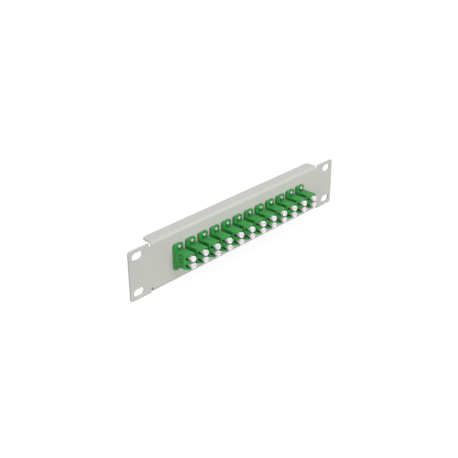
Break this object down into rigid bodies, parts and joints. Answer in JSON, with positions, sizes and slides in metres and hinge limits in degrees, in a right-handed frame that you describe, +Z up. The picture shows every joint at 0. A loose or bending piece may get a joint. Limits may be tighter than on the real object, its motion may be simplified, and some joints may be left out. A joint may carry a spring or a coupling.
{
  "type": "fibre patch panel",
  "caption": "Ten inch, one unit fibre patch panel: folded grey steel front with a row of green duplex couplers, screwed on and closed with white dust caps.",
  "frame": {"origin": "centre of the four rack slots, on the rear face of the ears, where the panel meets the rack rails", "axes": "+X along the panel's width, -Y out of the front face towards the user, +Z up in the rack"},
  "size_m": [0.254, 0.0356, 0.044],
  "materials": {
    "panel_steel": "light grey powder coat, fine texture",
    "green_plastic": "moulded, semi gloss",
    "white_plastic": "soft milky plastic, satin",
    "sleeve_ceramic": "polished white ceramic",
    "screw_steel": "bright nickel plate"
  },
  "bodies": {
    "panel": {"front_panel": "panel_steel", "adapter_front_01": "green_plastic", "adapter_front_02": "green_plastic", "adapter_front_03": "green_plastic", "adapter_front_04": "green_plastic", "adapter_front_05": "green_plastic", "adapter_front_06": "green_plastic", "adapter_front_07": "green_plastic", "adapter_front_08": "green_plastic", "adapter_front_09": "green_plastic", "adapter_front_10": "green_plastic", "adapter_front_11": "green_plastic", "adapter_front_12": "green_plastic", "adapter_rear_01": "green_plastic", "adapter_rear_02": "green_plastic", "adapter_rear_03": "green_plastic", "adapter_rear_04": "green_plastic", "adapter_rear_05": "green_plastic", "adapter_rear_06": "green_plastic", "adapter_rear_07": "green_plastic", "adapter_rear_08": "green_plastic", "adapter_rear_09": "green_plastic", "adapter_rear_10": "green_plastic", "adapter_rear_11": "green_plastic", "adapter_rear_12": "green_plastic", "rear_caps": "white_plastic", "alignment_sleeves": "sleeve_ceramic", "flange_screws": "screw_steel", "flange_nuts": "screw_steel"},
    "front_cap_01_lower_body": {"front_cap_01_lower": "white_plastic"},
    "front_cap_01_upper_body": {"front_cap_01_upper": "white_plastic"},
    "front_cap_02_lower_body": {"front_cap_02_lower": "white_plastic"},
    "front_cap_02_upper_body": {"front_cap_02_upper": "white_plastic"},
    "front_cap_03_lower_body": {"front_cap_03_lower": "white_plastic"},
    "front_cap_03_upper_body": {"front_cap_03_upper": "white_plastic"},
    "front_cap_04_lower_body": {"front_cap_04_lower": "white_plastic"},
    "front_cap_04_upper_body": {"front_cap_04_upper": "white_plastic"},
    "front_cap_05_lower_body": {"front_cap_05_lower": "white_plastic"},
    "front_cap_05_upper_body": {"front_cap_05_upper": "white_plastic"},
    "front_cap_06_lower_body": {"front_cap_06_lower": "white_plastic"},
    "front_cap_06_upper_body": {"front_cap_06_upper": "white_plastic"},
    "front_cap_07_lower_body": {"front_cap_07_lower": "white_plastic"},
    "front_cap_07_upper_body": {"front_cap_07_upper": "white_plastic"},
    "front_cap_08_lower_body": {"front_cap_08_lower": "white_plastic"},
    "front_cap_08_upper_body": {"front_cap_08_upper": "white_plastic"},
    "front_cap_09_lower_body": {"front_cap_09_lower": "white_plastic"},
    "front_cap_09_upper_body": {"front_cap_09_upper": "white_plastic"},
    "front_cap_10_lower_body": {"front_cap_10_lower": "white_plastic"},
    "front_cap_10_upper_body": {"front_cap_10_upper": "white_plastic"},
    "front_cap_11_lower_body": {"front_cap_11_lower": "white_plastic"},
    "front_cap_11_upper_body": {"front_cap_11_upper": "white_plastic"},
    "front_cap_12_lower_body": {"front_cap_12_lower": "white_plastic"},
    "front_cap_12_upper_body": {"front_cap_12_upper": "white_plastic"}
  },
  "joints": [
    {"name": "front_cap_01_lower_pull", "type": "slide", "parent": "panel", "child": "front_cap_01_lower_body", "axis": [0, -1, 0], "range_m": [0, 0.0129]},
    {"name": "front_cap_01_upper_pull", "type": "slide", "parent": "panel", "child": "front_cap_01_upper_body", "axis": [0, -1, 0], "range_m": [0, 0.0129]},
    {"name": "front_cap_02_lower_pull", "type": "slide", "parent": "panel", "child": "front_cap_02_lower_body", "axis": [0, -1, 0], "range_m": [0, 0.0129]},
    {"name": "front_cap_02_upper_pull", "type": "slide", "parent": "panel", "child": "front_cap_02_upper_body", "axis": [0, -1, 0], "range_m": [0, 0.0129]},
    {"name": "front_cap_03_lower_pull", "type": "slide", "parent": "panel", "child": "front_cap_03_lower_body", "axis": [0, -1, 0], "range_m": [0, 0.0129]},
    {"name": "front_cap_03_upper_pull", "type": "slide", "parent": "panel", "child": "front_cap_03_upper_body", "axis": [0, -1, 0], "range_m": [0, 0.0129]},
    {"name": "front_cap_04_lower_pull", "type": "slide", "parent": "panel", "child": "front_cap_04_lower_body", "axis": [0, -1, 0], "range_m": [0, 0.0129]},
    {"name": "front_cap_04_upper_pull", "type": "slide", "parent": "panel", "child": "front_cap_04_upper_body", "axis": [0, -1, 0], "range_m": [0, 0.0129]},
    {"name": "front_cap_05_lower_pull", "type": "slide", "parent": "panel", "child": "front_cap_05_lower_body", "axis": [0, -1, 0], "range_m": [0, 0.0129]},
    {"name": "front_cap_05_upper_pull", "type": "slide", "parent": "panel", "child": "front_cap_05_upper_body", "axis": [0, -1, 0], "range_m": [0, 0.0129]},
    {"name": "front_cap_06_lower_pull", "type": "slide", "parent": "panel", "child": "front_cap_06_lower_body", "axis": [0, -1, 0], "range_m": [0, 0.0129]},
    {"name": "front_cap_06_upper_pull", "type": "slide", "parent": "panel", "child": "front_cap_06_upper_body", "axis": [0, -1, 0], "range_m": [0, 0.0129]},
    {"name": "front_cap_07_lower_pull", "type": "slide", "parent": "panel", "child": "front_cap_07_lower_body", "axis": [0, -1, 0], "range_m": [0, 0.0129]},
    {"name": "front_cap_07_upper_pull", "type": "slide", "parent": "panel", "child": "front_cap_07_upper_body", "axis": [0, -1, 0], "range_m": [0, 0.0129]},
    {"name": "front_cap_08_lower_pull", "type": "slide", "parent": "panel", "child": "front_cap_08_lower_body", "axis": [0, -1, 0], "range_m": [0, 0.0129]},
    {"name": "front_cap_08_upper_pull", "type": "slide", "parent": "panel", "child": "front_cap_08_upper_body", "axis": [0, -1, 0], "range_m": [0, 0.0129]},
    {"name": "front_cap_09_lower_pull", "type": "slide", "parent": "panel", "child": "front_cap_09_lower_body", "axis": [0, -1, 0], "range_m": [0, 0.0129]},
    {"name": "front_cap_09_upper_pull", "type": "slide", "parent": "panel", "child": "front_cap_09_upper_body", "axis": [0, -1, 0], "range_m": [0, 0.0129]},
    {"name": "front_cap_10_lower_pull", "type": "slide", "parent": "panel", "child": "front_cap_10_lower_body", "axis": [0, -1, 0], "range_m": [0, 0.0129]},
    {"name": "front_cap_10_upper_pull", "type": "slide", "parent": "panel", "child": "front_cap_10_upper_body", "axis": [0, -1, 0], "range_m": [0, 0.0129]},
    {"name": "front_cap_11_lower_pull", "type": "slide", "parent": "panel", "child": "front_cap_11_lower_body", "axis": [0, -1, 0], "range_m": [0, 0.0129]},
    {"name": "front_cap_11_upper_pull", "type": "slide", "parent": "panel", "child": "front_cap_11_upper_body", "axis": [0, -1, 0], "range_m": [0, 0.0129]},
    {"name": "front_cap_12_lower_pull", "type": "slide", "parent": "panel", "child": "front_cap_12_lower_body", "axis": [0, -1, 0], "range_m": [0, 0.0129]},
    {"name": "front_cap_12_upper_pull", "type": "slide", "parent": "panel", "child": "front_cap_12_upper_body", "axis": [0, -1, 0], "range_m": [0, 0.0129]}
  ]
}
